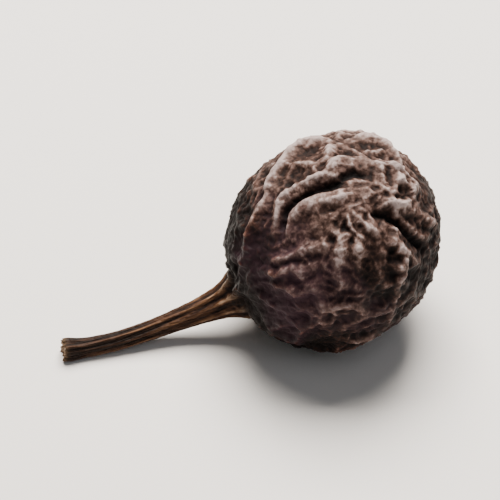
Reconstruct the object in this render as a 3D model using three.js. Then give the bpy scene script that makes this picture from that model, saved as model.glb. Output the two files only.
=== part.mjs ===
// A cubeb pepper: one dried, wrinkled berry drawn out at its base into its own ribbed stalk.
// The whole fruit grew as one piece, so it is one closed surface: a smooth round body, with a net of raised
// walls, bold folds and grooves, lengthwise ribs and a stigma scar raised from it by a formula.
// Millimetres, +Z up. The berry rests on a small flat spot at the origin, straight below its middle.
// The stalk runs out along -X, steeply down at first, and then lies along the surface that the berry
// rests on.
import * as THREE from 'three';
import { ConvexGeometry } from 'three/addons/geometries/ConvexGeometry.js';
import { mergeVertices } from 'three/addons/utils/BufferGeometryUtils.js';

const { clamp, smoothstep, lerp, degToRad } = THREE.MathUtils;

// The smooth body. Distances along the fruit are measured from the berry's middle towards the stalk.
const BERRY_RADIUS = 2.78;
const BERRY_HEIGHT_SHARE = 0.965; // the berry is a little flattened
const STALK_REACH = 7.9; // to the stalk's broken end
const STALK_RADIUS = 0.25;
const STALK_ROOT = 0.3; // the stalk begins to show this far from the berry's middle
const FLARE_RADIUS = 1.0; // of the stalk's flare, where it starts inside the berry
const FLARE_START = 2.2;
const FLARE_LENGTH = 1; // the flare thins by a factor of e over this length
const END_SWELLING = 0.2; // how much thicker the broken end is, as a share
const END_SWELLING_PLACE = 0.16; // short of the broken end
const END_SWELLING_SPREAD = 0.22;
const DENT_SHARE = 0.013; // slow dents in the berry's roundness
const DENT_LENGTH = 7;

// How the fruit lies.
const STALK_TILT = degToRad(29.3); // the stalk leaves the berry this far below level
const STALK_RISE = 1.56; // and curls up from that line by this much at its end
const STALK_SWAY = 0.12; // how far it turns aside
const STALK_WAVER = 0.1;
const STALK_WAVER_TURN = 6; // radians of the waver over the stalk's length
const REST_SINK = 0.17; // how deep the lowest places of berry and stalk are pressed flat
const REST_PAD_HEIGHT = 0.22; // the wrinkles run together at this height where the berry rests
const REST_PAD_ASIDE = 0.3; // from straight below the berry's middle, away from the stalk
const REST_PAD_RADIUS = 1;
const REST_FADE_RADIUS = 1.4; // and are themselves again from here outwards

// The net of raised walls, each running midway between the middles of two cells.
const CELL_COUNT = 130; // about 0.9 mm a cell
const CELL_SHAKE = 0.84; // how far a cell's middle may lie from an even spread, in cell widths
const NET_HEIGHT = 0.2;
const NET_HALF_WIDTH = 0.25;
const NET_SWAY = 0.1; // how far the walls wind aside
const NET_SWAY_LENGTH = 2.2;

// Bold folds and grooves on the front of the berry, which is seen from 45 degrees above and a little
// from the stalk's side. Each is a chain of points, [right, up] of the berry's middle in berry radii.
// The first two start at the stalk's root.
const FRONT_ELEVATION = degToRad(45);
const FRONT_AZIMUTH = degToRad(-12);
const FOLD_HEIGHT = 0.23;
const FOLD_HALF_WIDTH = 0.24;
const FOLD_CLEARING = 0.37; // the net is lower within this distance of a fold
const NET_BESIDE_FOLDS = 0.45; // and keeps this share of its height there
const FOLD_END_LENGTH = 0.33; // a fold sinks over this length at its ends
const FOLD_END_SHARE = 0.35; // to this share of its height
const FOLD_SWAY = 0.055;
const FOLD_SWAY_LENGTH = 1.6;
const GROOVE_DEPTH = 0.15;
const GROOVE_HALF_WIDTH = 0.22;
const FOLDS = [
  [[-0.88, -0.34], [-0.83, -0.1], [-0.76, 0.14], [-0.66, 0.42], [-0.58, 0.66], [-0.4, 0.83], [-0.16, 0.93]],
  [[-0.8, -0.5], [-0.68, -0.52], [-0.54, -0.6], [-0.36, -0.62]],
  [[-0.1, 0.76], [-0.02, 0.88], [0.24, 0.92], [0.46, 0.86], [0.58, 0.74]],
  [[-0.58, 0.1], [-0.54, 0.38], [-0.36, 0.54], [-0.14, 0.62],
    [0.02, 0.74], [0.22, 0.77], [0.38, 0.7], [0.42, 0.52]],
  [[-0.44, 0.14], [-0.36, 0.28], [-0.14, 0.38], [0.06, 0.46], [0.22, 0.5], [0.36, 0.4]],
  [[0.5, 0.74], [0.56, 0.56], [0.66, 0.48], [0.8, 0.46]],
  [[0.44, 0.34], [0.62, 0.3], [0.76, 0.24], [0.92, 0.12]],
  [[0.3, 0.1], [0.48, 0.02], [0.64, -0.08], [0.76, -0.24]],
  [[-0.7, -0.1], [-0.6, -0.17], [-0.44, -0.14], [-0.26, -0.05], [-0.1, -0.08]],
  [[-0.68, -0.28], [-0.56, -0.32], [-0.42, -0.23], [-0.28, -0.3], [-0.12, -0.24]],
  [[-0.6, -0.44], [-0.46, -0.4], [-0.32, -0.47], [-0.16, -0.42]],
  [[0.06, -0.04], [0.02, -0.22], [0.05, -0.4]],
  [[0.24, -0.02], [0.2, -0.2], [0.24, -0.44]],
  [[0.42, -0.04], [0.38, -0.24], [0.44, -0.46]],
  [[0.62, -0.12], [0.56, -0.3], [0.6, -0.48]],
];
const GROOVES = [
  [[-0.56, 0.02], [-0.5, 0.26], [-0.26, 0.46], [-0.02, 0.55], [0.16, 0.63], [0.32, 0.6]],
  [[0.3, 0.26], [0.54, 0.17], [0.74, 0.04], [0.84, -0.1]],
];

// Crests are taller in some places than in others: slowly over the berry, and unevenly along each crest.
// The height's share is its middle value and how far it swings, kept between a least and a most.
const SLOW_HEIGHT = { length: 4.4, middle: 0.95, swing: 0.22, least: 0.65, most: 1.15 };
const ROUGH_HEIGHT = { length: 1.6, middle: 0.9, swing: 0.25, least: 0.5, most: 1.2 };

// The stalk's lengthwise ribs.
const RIB_COUNT = 8;
const RIB_HEIGHT = 0.05;
const RIB_TWIST = 0.1; // radians round the axis for each millimetre along it
const RIB_CROWDING = 0.8; // how unevenly the ribs are spaced
const RIB_SHARPNESS = 1.5; // a higher power makes the ribs narrower than the hollows between them
const RIB_UNEVENNESS = 0.25; // how much lower some ribs are than others, as a share
const RIB_MIDDLE = 0.3; // the share of a rib's height that lies inside the smooth body
const NECK_RIB_HEIGHT = 0.13; // added where the stalk leaves the berry
const NECK_RIB_SPREAD = 0.95;
const RIBS_START = 1.2;
const RIBS_FULL = 2.7;
const WRINKLES_THIN = 2.5; // the wrinkles give way to the ribs from here
const WRINKLES_END = 3.7;

// The stigma scar at the berry's far end, a low button with smoother skin round it.
const SCAR_HEIGHT = 0.16;
const SCAR_RADIUS = 0.28;
const SCAR_CLEARING = 0.45;
const SCAR_SMOOTHING = 0.8;

// How finely the surface is divided.
const CORNER_COUNT = 5800; // under 11,600 triangles
const CORNER_SHAKE = 0.16;
const CREST_REACH = 0.025; // a corner this near a crest is moved onto it, on a ball of radius 1
const CORNER_GAP = 0.012; // and one this near another corner is left out
const TINY_STEP = 1e-4; // for measuring a slope
const LEAST_SLOPE = 0.5;

// A repeatable random number from 0 to 1 for item i of series k.
function random(i, k) {
  const x = Math.sin(i * 12.9898 + k * 78.233) * 43758.5453;
  return x - Math.floor(x);
}

// Points spread evenly over a ball by the golden angle, then each shaken aside by a share of their spacing.
function scatter(count, shake) {
  const goldenAngle = Math.PI * (3 - Math.sqrt(5));
  const spacing = Math.sqrt((4 * Math.PI) / count);
  return Array.from({ length: count }, (_, i) => {
    const height = 1 - (2 * (i + 0.5)) / count;
    const radius = Math.sqrt(1 - height * height);
    const angle = (i + 0.5) * goldenAngle;
    const point = new THREE.Vector3(radius * Math.cos(angle), radius * Math.sin(angle), height);
    const aside = new THREE.Vector3(random(i + 1, 1) - 0.5, random(i + 1, 2) - 0.5, random(i + 1, 3) - 0.5);
    return point.addScaledVector(aside, shake * spacing).normalize();
  });
}

// A set of sine waves that cross a ball in seeded directions; each is a direction and a phase.
function waveSet(count, seed) {
  return Array.from({ length: count }, (_, i) => {
    const angle = 2 * Math.PI * random(i + 1, seed + 1);
    const height = 2 * random(i + 1, seed + 2) - 1;
    const radius = Math.sqrt(1 - height * height);
    const direction = new THREE.Vector3(radius * Math.cos(angle), radius * Math.sin(angle), height);
    return { direction, phase: 2 * Math.PI * random(i + 1, seed + 3) };
  });
}

// The sum of the waves in the direction n, about -1.5 to 1.5, with a wave's length measured on the berry.
function swell(waves, length, n) {
  const frequency = (2 * Math.PI * BERRY_RADIUS) / length;
  let sum = 0;
  for (const wave of waves) sum += Math.sin(frequency * n.dot(wave.direction) + wave.phase);
  return sum / Math.sqrt(waves.length / 2);
}

// Moves a direction aside by three swells, so that straight lines on the berry turn sinuous.
function sway(n, amount, length, waveSets) {
  const [x, y, z] = waveSets.map((waves) => swell(waves, length, n));
  return new THREE.Vector3(x, y, z).multiplyScalar(amount / BERRY_RADIUS).add(n).normalize();
}

// The share of its full height that a crest has in the direction n.
function heightShare(waves, { length, middle, swing, least, most }, n) {
  return clamp(middle + swing * swell(waves, length, n), least, most);
}

// Cross-section of a wall or fold: 1 on its crest, falling in a hollow curve to 0 at its half width.
const CREST_HOLLOWNESS = 1.6; // the power of the nearness to the crest
const CREST_FULLNESS = 0.35; // fills the foot of the curve out again by this share

function crest(distance, halfWidth) {
  const t = clamp(1 - distance / halfWidth, 0, 1);
  return t ** CREST_HOLLOWNESS * (1 + CREST_FULLNESS * (1 - t));
}

// From the frame that the fruit is built in, with its axis level along X, to the frame that it rests
// in, and back.
const Y_AXIS = new THREE.Vector3(0, 1, 0);
const toRest = (point) => point.applyAxisAngle(Y_AXIS, -STALK_TILT);
const fromRest = (point) => point.applyAxisAngle(Y_AXIS, STALK_TILT);

// Direction from the berry's middle to a place on its front.
function frontDirection([right, up]) {
  const towards = Math.sqrt(1 - right * right - up * up);
  const rightAxis = new THREE.Vector3(Math.cos(FRONT_AZIMUTH), Math.sin(FRONT_AZIMUTH), 0);
  const viewAxis = new THREE.Vector3(
    Math.sin(FRONT_AZIMUTH) * Math.cos(FRONT_ELEVATION),
    -Math.cos(FRONT_AZIMUTH) * Math.cos(FRONT_ELEVATION),
    Math.sin(FRONT_ELEVATION),
  );
  const upAxis = viewAxis.clone().cross(rightAxis);
  const direction = rightAxis.multiplyScalar(right).addScaledVector(upAxis, up);
  return fromRest(direction.addScaledVector(viewAxis, towards));
}

// The cells, the lines and the waves, each set of waves with a seed of its own.
const CELLS = scatter(CELL_COUNT, CELL_SHAKE);
const FOLD_LINES = FOLDS.map((line) => line.map(frontDirection));
const GROOVE_LINES = GROOVES.map((line) => line.map(frontDirection));
const NET_SWAY_WAVES = [47, 57, 67].map((seed) => waveSet(6, seed));
const FOLD_SWAY_WAVES = [247, 257, 267].map((seed) => waveSet(6, seed));
const SLOW_WAVES = waveSet(6, 90);
const ROUGH_WAVES = waveSet(8, 190);
const DENT_WAVES = waveSet(5, 400);
const REST_PAD = fromRest(new THREE.Vector3(REST_PAD_ASIDE / BERRY_RADIUS, 0, -1).normalize());

// Distance from n to the nearest wall of the net. A cell is all that lies nearer to its middle than to
// any other.
function wallDistance(n) {
  const swayed = sway(n, NET_SWAY, NET_SWAY_LENGTH, NET_SWAY_WAVES);
  const squares = CELLS.map((cell) => swayed.distanceToSquared(cell));
  const own = squares.indexOf(Math.min(...squares));
  let nearest = Infinity;
  CELLS.forEach((cell, i) => {
    if (i === own) return;
    nearest = Math.min(nearest, (squares[i] - squares[own]) / (2 * cell.distanceTo(CELLS[own])));
  });
  return nearest * BERRY_RADIUS;
}

// Distance from n to a chain of points joined by straight stretches.
function lineDistance(n, line) {
  let nearest = Infinity;
  for (let i = 1; i < line.length; i += 1) {
    const stretch = line[i].clone().sub(line[i - 1]);
    const along = clamp(n.clone().sub(line[i - 1]).dot(stretch) / stretch.lengthSq(), 0, 1);
    const foot = line[i - 1].clone().addScaledVector(stretch, along).normalize();
    nearest = Math.min(nearest, n.distanceTo(foot));
  }
  return nearest * BERRY_RADIUS;
}

// The highest of the crests along the lines, 0 to 1, each fading towards its two ends.
function crestAlong(n, lines, halfWidth) {
  const heights = lines.map((line) => {
    const ends = [line[0], line[line.length - 1]];
    const [start, end] = ends.map((tip) => smoothstep(n.distanceTo(tip) * BERRY_RADIUS, 0, FOLD_END_LENGTH));
    return crest(lineDistance(n, line), halfWidth) * lerp(FOLD_END_SHARE, 1, start * end);
  });
  return Math.max(...heights);
}

// Height of the berry's wrinkles over its smooth body, in the direction n from its middle.
function wrinkles(n) {
  const slow = heightShare(SLOW_WAVES, SLOW_HEIGHT, n);
  const rough = heightShare(ROUGH_WAVES, ROUGH_HEIGHT, n);
  const wall = NET_HEIGHT * slow * rough * crest(wallDistance(n), NET_HALF_WIDTH);
  const swayed = sway(n, FOLD_SWAY, FOLD_SWAY_LENGTH, FOLD_SWAY_WAVES);
  const net = wall * lerp(1, NET_BESIDE_FOLDS, crestAlong(swayed, FOLD_LINES, FOLD_CLEARING));
  const fold = FOLD_HEIGHT * rough * crestAlong(swayed, FOLD_LINES, FOLD_HALF_WIDTH);
  const groove = crestAlong(swayed, GROOVE_LINES, GROOVE_HALF_WIDTH);
  const height = (net + fold) * (1 - groove) - GROOVE_DEPTH * groove;
  const fromRestPad = n.distanceTo(REST_PAD) * BERRY_RADIUS;
  return lerp(REST_PAD_HEIGHT, height, smoothstep(fromRestPad, REST_PAD_RADIUS, REST_FADE_RADIUS));
}

// How many ribs lie between phi = 0 and the angle phi: a whole number on each rib's crest.
function ribNumber(q, phi) {
  const twisted = phi + RIB_TWIST * (q - BERRY_RADIUS);
  return (RIB_COUNT * twisted + RIB_CROWDING * Math.sin(2 * twisted + 1)) / (2 * Math.PI);
}

// Height of the ribs at the distance q along the fruit and the angle phi round its axis.
function ribs(q, phi) {
  const wave = 0.5 + 0.5 * Math.cos(2 * Math.PI * ribNumber(q, phi));
  const tallness = 1 - RIB_UNEVENNESS * (1 - Math.cos(4 * phi + 2));
  const uneven = wave ** RIB_SHARPNESS * tallness;
  const neck = Math.exp(-(((q - BERRY_RADIUS) / NECK_RIB_SPREAD) ** 2));
  return (RIB_HEIGHT + NECK_RIB_HEIGHT * neck) * smoothstep(q, RIBS_START, RIBS_FULL) * (uneven - RIB_MIDDLE);
}

// Radius of the smooth body at the distance q along the fruit: a ball and a flared stalk with a swollen end,
// blended as the cube root of their summed cubes.
function bodyRadius(q) {
  const berry = Math.sqrt(Math.max(BERRY_RADIUS ** 2 - q * q, 0));
  const flare = Math.exp(-Math.max(q - FLARE_START, 0) / FLARE_LENGTH);
  const fromSwelling = (q - STALK_REACH + END_SWELLING_PLACE) / END_SWELLING_SPREAD;
  const swelling = 1 + END_SWELLING * Math.exp(-(fromSwelling ** 2));
  const stalk = lerp(STALK_RADIUS, FLARE_RADIUS, flare) * smoothstep(q, STALK_ROOT, FLARE_START) * swelling;
  return Math.cbrt(berry ** 3 + stalk ** 3);
}

// The place on the smooth body for a direction on a unit ball, whose -X side is drawn out into the stalk.
// Going round from the ball's -X end, the first share is the stalk's end face, then comes the stalk up to the
// berry's shoulder, and the rest is the berry.
const END_FACE_SHARE = 0.045;
const STALK_SHARE = 0.3;
const SHOULDER_ANGLE = degToRad(30);

function bodyPlace(ball) {
  const share = Math.acos(clamp(-ball.x, -1, 1)) / Math.PI;
  const phi = Math.atan2(ball.y, ball.z);
  const shoulder = BERRY_RADIUS * Math.cos(SHOULDER_ANGLE);
  const roundBerry = lerp(SHOULDER_ANGLE, Math.PI, clamp((share - STALK_SHARE) / (1 - STALK_SHARE), 0, 1));
  const alongStalk = clamp((share - END_FACE_SHARE) / (STALK_SHARE - END_FACE_SHARE), 0, 1);
  const onBerry = share > STALK_SHARE;
  const q = onBerry ? BERRY_RADIUS * Math.cos(roundBerry) : lerp(STALK_REACH, shoulder, alongStalk);
  const overFace = Math.min(share / END_FACE_SHARE, 1);
  const sideways = new THREE.Vector3(0, Math.sin(phi), Math.cos(phi));
  const point = sideways.clone().multiplyScalar(bodyRadius(q) * Math.sqrt(overFace)).setX(-q);
  const onStalk = smoothstep(q, WRINKLES_THIN, WRINKLES_END);
  return { q, phi, overFace, sideways, point, n: point.clone().normalize(), onStalk };
}

// The straight stalk's points moved along its curve, with each cross-section turned square to the curve. The
// curve rises with the square of the distance from the berry, and wavers aside.
function bend(point, q) {
  const length = STALK_REACH - BERRY_RADIUS;
  const run = Math.max(q - BERRY_RADIUS, 0) / length;
  const waver = STALK_WAVER_TURN * run;
  const aside = STALK_WAVER * run * Math.sin(waver) - STALK_SWAY * run * run;
  const waverSlope = STALK_WAVER * (Math.sin(waver) + waver * Math.cos(waver));
  const asideSlope = (waverSlope - 2 * STALK_SWAY * run) / length;
  const riseSlope = (2 * STALK_RISE * run) / length;
  const alongAxis = new THREE.Vector3(1, -asideSlope, -riseSlope).normalize();
  const sideAxis = new THREE.Vector3(asideSlope, 1, 0).normalize();
  const upAxis = new THREE.Vector3(riseSlope, 0, 1).normalize();
  const onCurve = new THREE.Vector3(-q, aside, STALK_RISE * run * run);
  onCurve.addScaledVector(alongAxis, point.x + q);
  return onCurve.addScaledVector(sideAxis, point.y).addScaledVector(upAxis, point.z);
}

// The fruit's surface: the body's place moved out by what is raised there, then the stalk bent.
function surfacePoint(ball) {
  const { q, phi, overFace, sideways, point, n, onStalk } = bodyPlace(ball);
  const fromScar = Math.acos(clamp(n.x, -1, 1)) * BERRY_RADIUS;
  const scar = SCAR_HEIGHT * Math.exp(-((fromScar / SCAR_RADIUS) ** 2));
  const besideScar = 1 - SCAR_SMOOTHING * Math.exp(-((fromScar / SCAR_CLEARING) ** 2));
  const height = wrinkles(n) * (1 - onStalk) * besideScar + scar + ribs(q, phi) * overFace;

  const dents = 1 + DENT_SHARE * swell(DENT_WAVES, DENT_LENGTH, n) * (1 - onStalk);
  const outwards = n.lerp(sideways, onStalk).normalize();
  point.multiplyScalar(dents).addScaledVector(outwards, height);
  point.z *= lerp(BERRY_HEIGHT_SHARE, 1, onStalk);
  return toRest(bend(point, q));
}

// Distance on the ball to the nearest crest or groove bottom, so that the surface's corners can be set on it.
function crestDistance(ball) {
  const { q, phi, n, onStalk } = bodyPlace(ball);
  const ribsLead = onStalk > 0.5;
  if (ribsLead) {
    const rib = ribNumber(q, phi);
    const angle = (2 * Math.PI * Math.abs(rib - Math.round(rib))) / RIB_COUNT;
    return angle * Math.hypot(ball.y, ball.z);
  }
  const swayed = sway(n, FOLD_SWAY, FOLD_SWAY_LENGTH, FOLD_SWAY_WAVES);
  const lines = [...FOLD_LINES, ...GROOVE_LINES].map((line) => lineDistance(swayed, line));
  return Math.min(wallDistance(n), ...lines) / BERRY_RADIUS;
}

// Moves a corner that lies near a crest onto it, straight down the slope of the distance.
function drawToCrest(ball) {
  const distance = crestDistance(ball);
  if (distance > CREST_REACH || distance < TINY_STEP) return ball;
  const across = new THREE.Vector3(-ball.y, ball.x, 0).normalize();
  const along = ball.clone().cross(across);
  const [slopeAcross, slopeAlong] = [across, along].map((side) => {
    const beside = ball.clone().addScaledVector(side, TINY_STEP).normalize();
    return (crestDistance(beside) - distance) / TINY_STEP;
  });
  const move = -distance / Math.max(slopeAcross ** 2 + slopeAlong ** 2, LEAST_SLOPE ** 2);
  const moved = ball.clone().addScaledVector(across, move * slopeAcross);
  return moved.addScaledVector(along, move * slopeAlong).normalize();
}

// Keeps the corners that lie more than a gap from every corner kept before them.
function spacedOut(corners, gap) {
  const kept = [];
  for (const corner of corners) {
    if (kept.every((other) => other.distanceToSquared(corner) > gap * gap)) kept.push(corner);
  }
  return kept;
}

// Corners spread over a ball and drawn onto the crests, joined by the triangles of their convex hull. Each is
// then moved to the fruit's surface, and the fruit is set down and pressed flat where it rests.
function cubebGeometry() {
  const corners = spacedOut(scatter(CORNER_COUNT, CORNER_SHAKE).map(drawToCrest), CORNER_GAP);
  const hull = new ConvexGeometry(corners);
  hull.deleteAttribute('normal');
  const geometry = mergeVertices(hull, 1e-6);
  const position = geometry.getAttribute('position');
  const points = Array.from({ length: position.count }, (_, i) => {
    return surfacePoint(new THREE.Vector3().fromBufferAttribute(position, i).normalize());
  });
  const lowest = Math.min(...points.map((point) => point.z));
  points.forEach((point, i) => {
    position.setXYZ(i, point.x, point.y, Math.max(point.z - lowest - REST_SINK, 0));
  });
  geometry.computeVertexNormals();
  return geometry;
}

const driedSkin = new THREE.MeshStandardMaterial({ color: 0x3a2a22, roughness: 0.62, metalness: 0 });
const cubeb = new THREE.Mesh(cubebGeometry(), driedSkin);
cubeb.name = 'cubeb_pepper';

const fruit = new THREE.Group();
fruit.add(cubeb);

export default fruit;
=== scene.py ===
# %% [markdown]
# A dried cubeb pepper, made with numpy surfaces in Blender.
#
# A cubeb is the berry of a climbing pepper plant, picked green and dried. As it dries its skin shrinks over
# the round seed and creases into a net of raised wrinkles, and the berry's own base draws out into a stalk,
# so berry and stalk are one piece. The whole fruit is about 11 mm long. This scene loads the plain solid of
# that fruit first, and everything after it is worked out in the same place and at the same real size.

# %% Load the plain solid
import math
import bpy
import numpy as np
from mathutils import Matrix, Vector


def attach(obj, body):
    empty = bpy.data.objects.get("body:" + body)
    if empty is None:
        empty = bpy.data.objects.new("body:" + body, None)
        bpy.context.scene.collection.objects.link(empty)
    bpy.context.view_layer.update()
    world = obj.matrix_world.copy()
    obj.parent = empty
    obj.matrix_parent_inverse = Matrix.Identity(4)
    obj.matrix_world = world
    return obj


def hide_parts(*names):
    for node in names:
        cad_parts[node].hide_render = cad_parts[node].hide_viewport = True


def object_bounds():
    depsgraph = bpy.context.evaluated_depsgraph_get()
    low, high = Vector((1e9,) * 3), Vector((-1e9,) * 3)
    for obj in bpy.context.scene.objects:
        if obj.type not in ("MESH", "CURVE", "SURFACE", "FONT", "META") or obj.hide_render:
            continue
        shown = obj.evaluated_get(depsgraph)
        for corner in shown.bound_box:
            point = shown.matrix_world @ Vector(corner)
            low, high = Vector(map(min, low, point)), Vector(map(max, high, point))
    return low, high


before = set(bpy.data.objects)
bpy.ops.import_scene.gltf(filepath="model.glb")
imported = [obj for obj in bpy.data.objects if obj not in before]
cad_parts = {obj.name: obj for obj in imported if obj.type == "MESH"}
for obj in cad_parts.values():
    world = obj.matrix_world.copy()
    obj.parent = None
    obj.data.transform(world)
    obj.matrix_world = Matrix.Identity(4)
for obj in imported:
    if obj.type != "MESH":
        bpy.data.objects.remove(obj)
solid_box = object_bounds()
MM = 0.001
print("solid, mm:", [round((high - low) / MM, 2) for low, high in zip(*solid_box)])

# %% [markdown]
# The camera stands in front of the fruit, 45 degrees above it and 12 degrees round towards the stalk, so
# that the stalk points down to the left. A real camera this close would blur most of the fruit and swell
# its near side. A long lens from further away gives the same angle with neither.

# %% Place the camera
CAMERA_AZIMUTH = math.radians(-12)
CAMERA_ELEVATION = math.radians(45)
CAMERA_DISTANCE = 300 * MM
CAMERA_CLIP = 1 * MM
FRAME_WIDTH = 13.6 * MM
SENSOR_WIDTH = 36


def direction(azimuth, elevation):
    """Unit vector towards a viewer: azimuth 0 is the -Y side, and elevation is above the floor."""
    level = math.cos(elevation)
    return Vector((math.sin(azimuth) * level, -math.cos(azimuth) * level, math.sin(elevation)))


def aim(item, target, towards, distance):
    """Puts a camera or light at a distance from a target and turns it to face that target."""
    item.location = target + towards * distance
    item.rotation_euler = (-towards).to_track_quat("-Z", "Y").to_euler()


camera_data = bpy.data.cameras.new("camera")
camera_data.sensor_width = SENSOR_WIDTH
camera_data.lens = SENSOR_WIDTH * CAMERA_DISTANCE / FRAME_WIDTH
camera_data.clip_start = CAMERA_CLIP
camera = bpy.data.objects.new("camera", camera_data)
bpy.context.scene.collection.objects.link(camera)
middle_of_fruit = (solid_box[0] + solid_box[1]) / 2
aim(camera, middle_of_fruit, direction(CAMERA_AZIMUTH, CAMERA_ELEVATION), CAMERA_DISTANCE)
bpy.context.scene.camera = camera
print("lens, mm:", round(camera_data.lens))

# %% [markdown]
# A few short functions serve every material here. Colours are written as the hex values that a paint
# program shows, which are sRGB, and Blender's shaders count in linear light, so one function turns the
# first into the second. Another adds a node to a material with its settings and with what feeds it. A
# node's inputs are told apart by name, or by number where several share a name.

# %% Colour and node helpers
def linear(hex_colour):
    """sRGB hex to linear RGBA: c becomes ((c + 0.055) / 1.055) to the power 2.4, or c / 12.92 if dark."""
    channels = [int(hex_colour[i:i + 2], 16) / 255 for i in (1, 3, 5)]
    return (*[((c + 0.055) / 1.055) ** 2.4 if c > 0.04045 else c / 12.92 for c in channels], 1.0)


def add(material, kind, inputs=None, stops=None, **settings):
    """Adds a node. An input that is given a socket is linked to it, and any other value is set on it."""
    tree = material.node_tree
    node = tree.nodes.new(kind)
    for name, value in settings.items():
        setattr(node, name, value)
    for name, value in (inputs or {}).items():
        if isinstance(value, bpy.types.NodeSocket):
            tree.links.new(value, node.inputs[name])
        else:
            node.inputs[name].default_value = value
    for i, (position, colour) in enumerate(stops or []):
        elements = node.color_ramp.elements
        stop = elements[i] if i < 2 else elements.new(position)
        stop.position = position
        stop.color = colour
    return node


def new_material(name, **values):
    """A material whose Principled shader has these values on its own sockets."""
    material = bpy.data.materials.new(name)
    material.use_nodes = True
    shader = material.node_tree.nodes["Principled BSDF"]
    for socket, value in values.items():
        shader.inputs[socket.replace("_", " ")].default_value = value
    return material, shader


print("mid grey in linear light:", round(linear("#808080")[0], 3))

# %% [markdown]
# The floor is a sheet of pale matt card, wide enough that its edge is far outside the picture. It lies at
# height zero, where the fruit's flat spot rests.

# %% Lay the floor
FLOOR_REACH = 1.5


def plane(name, reach, height):
    """A square in the XY plane with its middle over the origin."""
    corners = [(x * reach, y * reach, height) for x, y in ((-1, -1), (1, -1), (1, 1), (-1, 1))]
    mesh = bpy.data.meshes.new(name)
    mesh.from_pydata(corners, [], [(0, 1, 2, 3)])
    item = bpy.data.objects.new(name, mesh)
    bpy.context.scene.collection.objects.link(item)
    return item


floor = plane("floor", FLOOR_REACH, 0)
card, _ = new_material("matt_card", Base_Color=linear("#e6e3df"), Roughness=0.9)
floor.data.materials.append(card)
print("floor, m:", 2 * FLOOR_REACH)

# %% [markdown]
# Soft light from above, behind and a little to the right catches the tops of the wrinkles and leaves their
# hollows dark, which is what makes them read. A large square lamp close to so small a thing is as soft as a
# window. A weak, cooler one at the front right keeps the near side from going black, and a pale world fills
# the rest.

# %% Set the lights
WORLD_STRENGTH = 0.14


def lamp(name, azimuth, elevation, distance, size, watts, colour):
    """A square area light at a direction and distance from the fruit, turned to face it."""
    data = bpy.data.lights.new(name, "AREA")
    data.energy = watts
    data.size = size
    data.color = linear(colour)[:3]
    item = bpy.data.objects.new(name, data)
    bpy.context.scene.collection.objects.link(item)
    aim(item, middle_of_fruit, direction(math.radians(azimuth), math.radians(elevation)), distance)


lamp("window", azimuth=165, elevation=60, distance=0.12, size=0.085, watts=0.66, colour="#fff8f0")
lamp("fill", azimuth=30, elevation=50, distance=0.16, size=0.12, watts=0.035, colour="#f2f6ff")
world = bpy.data.worlds.new("pale_room")
world.use_nodes = True
world.node_tree.nodes["Background"].inputs["Color"].default_value = linear("#f6f6f6")
world.node_tree.nodes["Background"].inputs["Strength"].default_value = WORLD_STRENGTH
bpy.context.scene.world = world

# %% [markdown]
# Nothing that grows is regular, but a script has to give the same fruit each time. So every random number
# comes from a formula: the sine of a number, multiplied until only its unpredictable last digits are kept.
# Points spread over a ball by the golden angle, as seeds are in a sunflower, are even without being a grid,
# and each is then shaken aside a little.

# %% Repeatable randomness
RANDOM_STEPS = (12.9898, 78.233)
RANDOM_MULTIPLE = 43758.5453


def random(i, series):
    """Repeatable numbers from 0 to 1: the fraction of a large multiple of the sine of i and the series."""
    x = np.sin(i * RANDOM_STEPS[0] + series * RANDOM_STEPS[1]) * RANDOM_MULTIPLE
    return x - np.floor(x)


def unit(vectors):
    """Each vector divided by its own length."""
    return vectors / np.linalg.norm(vectors, axis=-1, keepdims=True)


def scatter(count, shake):
    """Golden-angle points on a ball of radius 1, each shaken aside by a share of their spacing."""
    i = np.arange(count)
    height = 1 - 2 * (i + 0.5) / count
    radius = np.sqrt(1 - height * height)
    angle = (i + 0.5) * math.pi * (3 - math.sqrt(5))
    points = np.stack([radius * np.cos(angle), radius * np.sin(angle), height], -1)
    aside = np.stack([random(i + 1, series) - 0.5 for series in (1, 2, 3)], -1)
    return unit(points + shake * math.sqrt(4 * math.pi / count) * aside)


print("three scattered points:", scatter(3, 0.5).round(2).tolist())

# %% [markdown]
# Slow, smooth changes over the skin are sums of a few sine waves that cross the berry in seeded directions,
# each with a length in real millimetres. Such a sum makes a wrinkle taller here and lower there. Three of
# them together move a place aside, which turns straight lines into winding ones.

# %% Swells that cross the berry
BERRY_RADIUS = 2.78 * MM
SWAY_WAVES = 6


def wave_set(count, seed):
    """Seeded directions, one a row, and phases for a set of sine waves."""
    i = np.arange(1, count + 1)
    angle = 2 * math.pi * random(i, seed + 1)
    height = 2 * random(i, seed + 2) - 1
    radius = np.sqrt(1 - height * height)
    directions = np.stack([radius * np.cos(angle), radius * np.sin(angle), height], -1)
    return directions, 2 * math.pi * random(i, seed + 3)


def swell(waves, length, n):
    """Sum of the waves at directions n, about -1.5 to 1.5, with the waves' length measured on the berry."""
    directions, phases = waves
    frequency = 2 * math.pi * BERRY_RADIUS / length
    return np.sin(frequency * (n @ directions.T) + phases).sum(-1) / math.sqrt(len(phases) / 2)


def sway(n, amount, length, seeds):
    """Directions n moved aside by three swells, by about the amount on the berry."""
    aside = np.stack([swell(wave_set(SWAY_WAVES, seed), length, n) for seed in seeds], -1)
    return unit(n + aside * amount / BERRY_RADIUS)


x_axis = np.array([1.0, 0.0, 0.0])
print("the X axis, swayed by 1 mm:", sway(x_axis, 1 * MM, 2 * MM, seeds=(1, 2, 3)).round(2))

# %% [markdown]
# Three more small functions are used throughout. One eases a value in between two places, one mixes two
# values, and one is a bell-shaped bump.

# %% Easing, mixing and bumps
def smoothstep(x, start, end):
    """0 before start, 1 after end, and the curve 3t^2 - 2t^3 between them."""
    t = np.clip((x - start) / (end - start), 0, 1)
    return t * t * (3 - 2 * t)


def between(a, b, share):
    """a at share 0, b at share 1."""
    return a + (b - a) * share


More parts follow.
